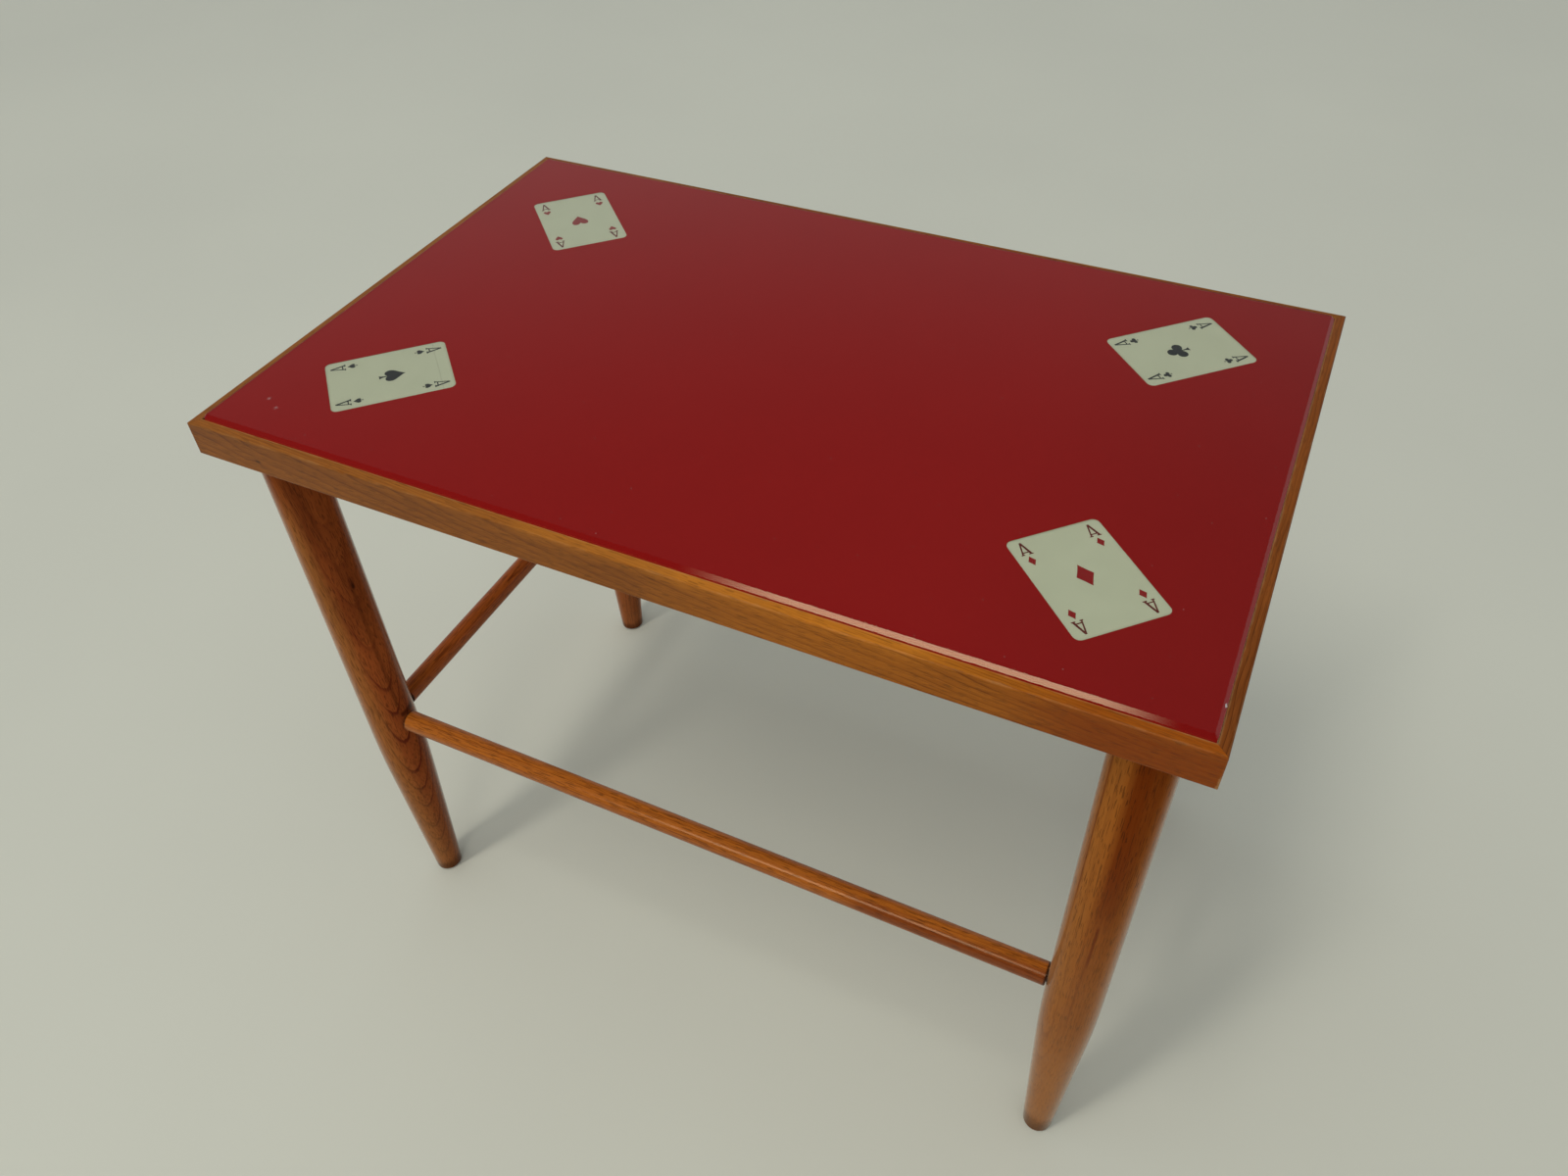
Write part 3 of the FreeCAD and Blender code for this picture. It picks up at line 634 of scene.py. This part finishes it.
# Cards: heading in degrees, and the centre, in mm, from the frame
cards = {
    "spades": {"heading": 45}, "hearts": {"heading": -45},
    "clubs": {"heading": 224}, "diamonds": {"heading": 135},
}
for suit, card in cards.items():
    low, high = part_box("ace_of_" + suit)
    card["centre"] = [(a + b) / 2 / mm for a, b in zip(low.xy, high.xy)]
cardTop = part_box("ace_of_spades")[1].z

# Red enamel on the underside of the glass: its face stands a hair into the pane, and above
# the cards' faces it laps over their rims
slack = 0.01 * mm       # for picking points by height
redEnamel = {
    "rise": 0.04 * mm, "overCard": 0.04 * mm, "lap": 0.975, "reach": 70 * mm,
    "deep": rgb(0.222, 0.0056, 0.0048), "pale": rgb(0.240, 0.0066, 0.0056), "cloud": 14,
    # the enamel is multiplied darker toward the right side, a painted shade
    "paintedShadeTint": rgb(0.84, 0.9, 0.9), "shade": (0.14, 0.38),       # toward the right side
    "rough": 0.6,
}
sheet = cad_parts["red_backing"].copy()
sheet.data = sheet.data.copy()
sheet.name = "red_enamel_coat"
for key in list(sheet.keys()):
    del sheet[key]
sheet.parent = None
scene.collection.objects.link(sheet)
takeUp(sheet)
bpy.ops.object.mode_set(mode="EDIT")
bpy.ops.mesh.select_all(action="SELECT")
bpy.ops.mesh.remove_doubles(threshold=0.001 * mm)
bpy.ops.mesh.select_all(action="DESELECT")
bpy.ops.object.mode_set(mode="OBJECT")
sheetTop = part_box("red_backing")[1].z
for vertex in sheet.data.vertices:
    vertex.select = vertex.co.z > sheetTop - slack
bpy.ops.object.mode_set(mode="EDIT")
bpy.ops.transform.translate(value=(0, 0, redEnamel["rise"]))
bpy.ops.mesh.select_all(action="SELECT")
rim = cardTop + redEnamel["overCard"]
bpy.ops.mesh.bisect(plane_co=(0, 0, rim), plane_no=(0, 0, 1))
for card in cards.values():
    centre = [c * mm for c in card["centre"]]
    bpy.ops.mesh.select_all(action="DESELECT")
    bpy.ops.object.mode_set(mode="OBJECT")
    for vertex in sheet.data.vertices:
        near = math.dist(vertex.co.xy, centre) < redEnamel["reach"]
        vertex.select = near and vertex.co.z > rim + slack
    bpy.ops.object.mode_set(mode="EDIT")
    bpy.ops.transform.resize(
        value=(redEnamel["lap"], redEnamel["lap"], 1), center_override=(*centre, rim))
bpy.ops.mesh.select_all(action="SELECT")
bpy.ops.mesh.faces_shade_flat()
bpy.ops.object.mode_set(mode="OBJECT")
bpy.ops.mesh.customdata_custom_splitnormals_clear()
material, shades = newShades("red_enamel")
cloud = shades.noise(shades.place(), redEnamel["cloud"], 3)
colour = shades.blend(cloud, redEnamel["deep"], redEnamel["pale"])
x, y, z = shades.axes(shades.place())
# painted shade: darker toward the right side
colour = shades.tint(shades.ease(x, *redEnamel["shade"]), colour, redEnamel["paintedShadeTint"])
shades.finish(shades.node("BsdfPrincipled", {}, {
    "Base Color": colour, "Roughness": redEnamel["rough"], "Specular IOR Level": 0.0}))
sheet.data.materials.clear()
sheet.data.materials.append(material)
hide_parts("red_backing")
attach(sheet, "root")
print("red enamel laid")

# Card stock: places are mm along the card from its centre
cardStock = {
    "deep": rgb(0.43, 0.425, 0.30), "pale": rgb(0.485, 0.48, 0.345),
    "mottle": 60, "grain": 2200, "rough": 0.5, "grainRough": 0.2, "relief": (0.15, 0.05 * mm),
    "rim": (41.5, 44.0), "rimTone": rgb(0.30, 0.29, 0.17), "rimDepth": 0.35,
    "crease": 35.2, "creaseWander": 1.2, "creaseEdge": (0.15, 0.7),
    "creaseTone": rgb(0.24, 0.25, 0.17), "creaseDepth": 0.3,
}
for suit, card in cards.items():
    material, shades = newShades("card_stock_" + suit)
    mottle = shades.noise(shades.place(), cardStock["mottle"], 3)
    grain = shades.noise(shades.place(), cardStock["grain"], 2)
    colour = shades.blend(mottle, cardStock["deep"], cardStock["pale"])
    x, y, z = shades.axes(shades.place())
    ahead = math.radians(card["heading"])
    down = (x / mm - card["centre"][0]) * math.cos(ahead)
    down = down + (y / mm - card["centre"][1]) * math.sin(ahead)
    rimmed = shades.ease(abs(down), *cardStock["rim"])
    colour = shades.blend(rimmed * cardStock["rimDepth"], colour, cardStock["rimTone"])
    if suit == "spades":        # an old crease near its inner end
        off = abs(down - cardStock["crease"] + mottle * cardStock["creaseWander"])
        crease = shades.fade(off, *cardStock["creaseEdge"])
        colour = shades.blend(crease * cardStock["creaseDepth"], colour, cardStock["creaseTone"])
    shades.finish(shades.node("BsdfPrincipled", {}, {
        "Base Color": colour, "Roughness": cardStock["rough"] + grain * cardStock["grainRough"],
        "Normal": shades.bump(grain, *cardStock["relief"])}))
    wear("ace_of_" + suit, material)

# Inks: a deep and a pale tone, speckled
inkLook = {"speckle": 900, "rough": 0.45, "speckleRough": 0.2, "gloss": 0.1}


def makeInk(name, deep, pale):
    material, shades = newShades(name)
    speckle = shades.noise(shades.place(), inkLook["speckle"], 3)
    shades.finish(shades.node("BsdfPrincipled", {}, {
        "Base Color": shades.blend(speckle, deep, pale),
        "Roughness": inkLook["rough"] + speckle * inkLook["speckleRough"],
        "Specular IOR Level": inkLook["gloss"]}))
    return material


blackInk = makeInk("black_ink", rgb(0.010, 0.010, 0.012), rgb(0.022, 0.022, 0.024))
redInk = makeInk("red_ink", rgb(0.20, 0.002, 0.002), rgb(0.25, 0.004, 0.003))
letterInk = makeInk("dark_red_ink", rgb(0.085, 0.006, 0.004), rgb(0.12, 0.009, 0.006))

# Card print, in mm: how far the corner letters and pips stand from the card's centre
cardPrint = {
    "letterAcross": 23, "letterBase": 29.2, "smallPip": 23.7, "inkThickness": 0.02,
    "blackSmall": 0.38, "redSmall": 0.44, "diamondRise": 1.7, "curveSteps": 8,
}
# each pip's right half: its top point, then curves as two handles and an end
pips = {
    "spades": [(0, 11.3), [(2.2, 6.6), (7, 4.6), (7, 0.6)], [(7, -1.8), (5.4, -3.4), (3.5, -3.4)],
               [(2.2, -3.4), (1.1, -2.7), (0.5, -1.6)], [(0.6, -4.6), (1.0, -6.6), (2.3, -7.6)],
               [(1.5, -7.6), (0.8, -7.6), (0, -7.6)]],
    "clubs": [(0, 10.5), [(2.1, 10.5), (3.8, 8.8), (3.8, 6.7)], [(3.8, 5.8), (3.5, 4.9), (2.9, 4.3)],
              [(3.3, 4.45), (3.8, 4.55), (4.3, 4.55)], [(6.4, 4.55), (8.05, 2.9), (8.05, 0.8)],
              [(8.05, -1.3), (6.4, -2.95), (4.3, -2.95)], [(2.6, -2.95), (1.3, -2.0), (0.5, -1.0)],
              [(0.5, -3.6), (0.9, -5.8), (2.3, -6.8)], [(1.5, -6.8), (0.8, -6.8), (0, -6.8)]],
    "hearts": [(0, 3.7), [(0.6, 5.6), (2.0, 6.8), (3.7, 6.8)], [(5.6, 6.8), (6.9, 5.2), (6.9, 3.2)],
               [(6.9, -0.6), (2.6, -3.6), (0, -8)]],
    "diamonds": [(0, 9.4), [(1.7, 6.2), (3.7, 3.0), (5.8, 0)], [(3.7, -3.0), (1.7, -6.2), (0, -9.4)]],
}
letterOutline = [
    (-0.55, 11), (0.75, 11), (3.45, 0.8), (4.0, 0.8), (4.0, 0), (1.2, 0), (1.2, 0.8),
    (1.85, 0.8), (1.6, 1.75), (-1.85, 1.75), (-2.05, 0.8), (-1.5, 0.8), (-1.5, 0), (-3.8, 0),
    (-3.8, 0.8), (-3.15, 0.8)]
letterHole = [(-1.72, 2.65), (1.42, 2.65), (-0.05, 8.6)]


def flip(point):
    return (-point[0], point[1])


# closed run of curves, (start, handle, handle, end), down the right side and up the left
def pipLoop(suit):
    start, *curves = pips[suit]
    right = []
    for first, second, end in curves:
        right.append((start, first, second, end))
        start = end
    left = [(flip(end), flip(second), flip(first), flip(start))
            for start, first, second, end in reversed(right)]
    return right + left


def straightLoop(corners):
    ends = corners[1:] + corners[:1]
    return [(a, a, b, b) for a, b in zip(corners, ends)]


# a flat shape from closed loops, each set down at several places: (x, y, size, turned round)
def makePrint(name, loops, places, ink):
    outline = bpy.data.curves.new(name, "CURVE")
    outline.dimensions = "2D"
    outline.fill_mode = "BOTH"
    outline.resolution_u = cardPrint["curveSteps"]
    outline.extrude = cardPrint["inkThickness"]
    for x, y, size, turned in places:
        sign = -size if turned else size
        for loop in loops:
            spline = outline.splines.new("BEZIER")
            spline.bezier_points.add(len(loop) - 1)
            spline.use_cyclic_u = True
            for i, point in enumerate(spline.bezier_points):
                point.handle_left_type = point.handle_right_type = "FREE"
                shifted = [(x + sign * u, y + sign * v, 0)
                           for u, v in (loop[i][0], loop[i - 1][2], loop[i][1])]
                point.co, point.handle_left, point.handle_right = shifted
    piece = bpy.data.objects.new(name, outline)
    scene.collection.objects.link(piece)
    takeUp(piece)
    bpy.ops.object.convert(target="MESH")
    bpy.ops.object.mode_set(mode="EDIT")
    bpy.ops.mesh.select_all(action="SELECT")
    bpy.ops.mesh.remove_doubles(threshold=0.002)
    bpy.ops.mesh.normals_make_consistent(inside=False)
    bpy.ops.object.mode_set(mode="OBJECT")
    piece.data.materials.clear()
    piece.data.materials.append(ink)
    return piece


for suit, card in cards.items():
    red = suit in ("hearts", "diamonds")
    across, base, small = (cardPrint[key] for key in ("letterAcross", "letterBase", "smallPip"))
    corners = [(x, y, turned) for x in (-across, across) for y, turned in ((1, False), (-1, True))]
    letters = makePrint("letters", [straightLoop(letterOutline), straightLoop(letterHole)],
                        [(x, y * base, 1.0, turned) for x, y, turned in corners],
                        letterInk if red else blackInk)
    size = cardPrint["redSmall"] if red else cardPrint["blackSmall"]
    middle = (0, cardPrint["diamondRise"] if suit == "diamonds" else 0, 1.0, False)
    marks = makePrint("print_" + suit, [pipLoop(suit)],
                      [middle] + [(x, y * small, size, turned) for x, y, turned in corners],
                      redInk if red else blackInk)
    letters.select_set(True)
    bpy.context.view_layer.objects.active = marks
    bpy.ops.object.join()
    marks.scale = (mm, mm, mm)
    marks.rotation_euler.z = math.radians(card["heading"] - 90)
    marks.location = [card["centre"][0] * mm, card["centre"][1] * mm, cardTop]
    bpy.ops.object.transform_apply(location=True, rotation=True, scale=True)
    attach(marks, "root")
print("cards printed")

# Screws: slotted round heads under the battens, each slot turned its own way
screw = {
    "head": 4.0 * mm, "height": 2.3 * mm, "round": 0.86, "sink": 0.4 * mm,
    "slot": 1.0 * mm, "slotDepth": 1.3 * mm, "rows": 4, "spacing": 92 * mm, "column": 300 * mm,
    "turns": (12, 74, 151, 38, 95, 168, 27, 120),       # degrees
    "dark": rgb(0.30, 0.28, 0.25), "bright": rgb(0.50, 0.48, 0.44), "tarnish": 500,
    "rusty": rgb(0.16, 0.10, 0.06), "rust": 1500, "rustShare": (0.52, 0.62), "rustDepth": 0.4,
    "rough": 0.28, "tarnishRough": 0.3, "rustRough": 0.2,
}
material, shades = newShades("screw_steel")
tarnish = shades.noise(shades.place(), screw["tarnish"], 3)
rust = shades.ease(shades.noise(shades.place(), screw["rust"], 2), *screw["rustShare"])
colour = shades.blend(tarnish, screw["dark"], screw["bright"])
colour = shades.blend(rust * screw["rustDepth"], colour, screw["rusty"])
rough = screw["rough"] + tarnish * screw["tarnishRough"] + rust * screw["rustRough"]
shades.finish(shades.node("BsdfPrincipled", {}, {
    "Base Color": colour, "Metallic": 1.0, "Roughness": rough}))
bpy.ops.object.select_all(action="DESELECT")
bpy.ops.mesh.primitive_cylinder_add(
    vertices=40, radius=screw["head"], depth=screw["height"] + screw["sink"],
    location=(0, 0, (screw["sink"] - screw["height"]) / 2))
head = bpy.context.object
bpy.ops.object.transform_apply(location=True, rotation=False, scale=False)
for polygon in head.data.polygons:
    polygon.select = polygon.normal.z < -0.9
for edge in head.data.edges:
    edge.select = False
for vertex in head.data.vertices:
    vertex.select = False
bpy.ops.object.mode_set(mode="EDIT")
bpy.ops.mesh.select_mode(type="FACE")
bpy.ops.mesh.bevel(
    offset=screw["height"] * screw["round"], segments=6, profile=0.5, affect="EDGES")
bpy.ops.object.mode_set(mode="OBJECT")
over = 1.0 * mm     # the cutter stands past the head
bpy.ops.mesh.primitive_cube_add(
    size=1, location=(0, 0, -screw["height"] + (screw["slotDepth"] - over) / 2))
cutter = bpy.context.object
cutter.scale = (screw["head"] * 3, screw["slot"], screw["slotDepth"] + over)
bpy.ops.object.transform_apply(location=True, rotation=False, scale=True)
takeUp(head)
slotCut = head.modifiers.new("slot_cut", "BOOLEAN")
slotCut.operation = "DIFFERENCE"
slotCut.solver = "EXACT"
slotCut.object = cutter
bpy.ops.object.modifier_apply(modifier="slot_cut")
bpy.data.objects.remove(cutter)
bpy.ops.object.shade_smooth_by_angle(angle=math.radians(35))
head.data.materials.clear()
head.data.materials.append(material)

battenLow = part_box("left_batten")[0].z
middleRow = (screw["rows"] - 1) / 2
spots = [(side, sign, row) for side, sign in (("left", -1), ("right", 1))
         for row in range(screw["rows"])]
for (side, sign, row), turn in zip(spots, screw["turns"]):
    piece = head.copy()
    piece.data = head.data.copy()
    piece.name = side + "_batten_screw_" + str(row + 1)
    scene.collection.objects.link(piece)
    takeUp(piece)
    piece.rotation_euler.z = math.radians(turn)
    piece.location = (sign * screw["column"], (row - middleRow) * screw["spacing"], battenLow)
    bpy.ops.object.transform_apply(location=True, rotation=True, scale=True)
    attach(piece, "root")
bpy.data.objects.remove(head)
print("screws made:", len(spots))

# Glass, with a little dust on its face, two dull scuffs and a chip on its right edge
glassLook = {
    "tint": rgb(0.97, 0.985, 0.97), "refraction": 1.5,
    "marks": rgb(0.55, 0.52, 0.50), "marksRough": 0.9, "face": (0.5795, 0.5799),
    "specks": 38.0, "speckShare": (0.72, 0.78), "speckDepth": 0.45,
    "speckCore": 0.006, "speckRim": 0.004, "speckGrowth": 0.008,
    "scuffs": [(-0.3168, -0.1832), (-0.3044, -0.1900)], "scuffEdge": (1.6, 4.4),
    "scuffBlur": 700, "scuffWander": 4.0, "scuffDepth": 0.22,
    "chip": (0.3468, -0.1925), "chipEdge": (0.9, 1.3), "chipLength": 0.4,
    "chipBlur": 900, "chipWander": 0.8, "chipDepth": 0.9,
}
material, shades = newShades("float_glass")
place = shades.place()
x, y, z = shades.axes(place)
clear = shades.node("BsdfGlass", {}, {
    "Color": glassLook["tint"], "Roughness": 0.0, "IOR": glassLook["refraction"]})
through = shades.node("BsdfTransparent", {}, {"Color": glassLook["tint"]})
shadowRay = shades.node("LightPath", {}, {}, "Is Shadow Ray")
diffuseRay = shades.node("LightPath", {}, {}, "Is Diffuse Ray")
pane = shades.node("MixShader", {}, {
    0: shades.higher(shadowRay, diffuseRay), 1: clear, 2: through})

# each cell of the pattern may hold one speck, and its chance says whether and how big
settled, chance = [shades.node("TexVoronoi", {"voronoi_dimensions": "2D"}, {
    "Vector": place, "Scale": glassLook["specks"]}, output) for output in ("Distance", "Color")]
chance = shades.axes(chance)[0]
speckEdge = glassLook["speckRim"] + glassLook["speckGrowth"] * chance
speck = shades.fade(settled, glassLook["speckCore"] * chance, speckEdge)
speck = speck * shades.ease(chance, *glassLook["speckShare"]) * shades.ease(z, *glassLook["face"])
marks = speck * glassLook["speckDepth"]
flat = shades.vector(x, y, 0.0)
blur = shades.noise(place, glassLook["scuffBlur"], 3) * glassLook["scuffWander"]
for scuffX, scuffY in glassLook["scuffs"]:
    off = shades.apart(flat, (scuffX, scuffY, 0.0)) / mm + blur
    scuffed = shades.fade(off, *glassLook["scuffEdge"]) * glassLook["scuffDepth"]
    marks = shades.higher(marks, scuffed)
chipX, chipY = glassLook["chip"]
off = abs(x - chipX) / mm + abs(y - chipY) / mm * glassLook["chipLength"]
off = off + shades.noise(place, glassLook["chipBlur"], 2) * glassLook["chipWander"]
chipped = shades.fade(off, *glassLook["chipEdge"]) * glassLook["chipDepth"]
marks = shades.higher(marks, chipped)
matt = shades.node("BsdfPrincipled", {}, {
    "Base Color": glassLook["marks"], "Roughness": glassLook["marksRough"]})
shades.finish(shades.node("MixShader", {}, {0: marks, 1: pane, 2: matt}))
wear("glass_top", material)
print("glass finished")
